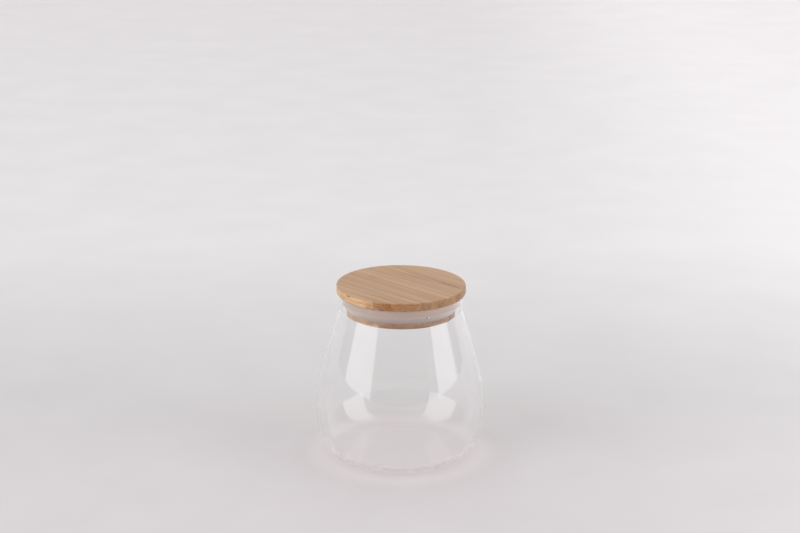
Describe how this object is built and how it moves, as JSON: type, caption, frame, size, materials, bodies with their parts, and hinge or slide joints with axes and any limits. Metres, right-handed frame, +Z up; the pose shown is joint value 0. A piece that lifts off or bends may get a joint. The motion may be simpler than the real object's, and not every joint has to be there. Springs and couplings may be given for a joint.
{
  "type": "glass storage jar",
  "caption": "Round clear glass storage jar with a wide low belly and narrow upright neck, closed by a flat wooden plug lid with a soft seal ring; holds dry food.",
  "frame": {"origin": "centre of the flat base, at the level of the surface it stands on", "axes": "+Z up along the jar's axis, from the base to the lid"},
  "size_m": [0.1198, 0.1198, 0.1236],
  "materials": {
    "glass": "clear polished",
    "bamboo": "sanded laminated bamboo",
    "silicone": "milky translucent satin"
  },
  "bodies": {
    "root": {"glass_vessel": "glass", "bamboo_lid": "bamboo", "silicone_seal": "silicone"}
  },
  "joints": []
}
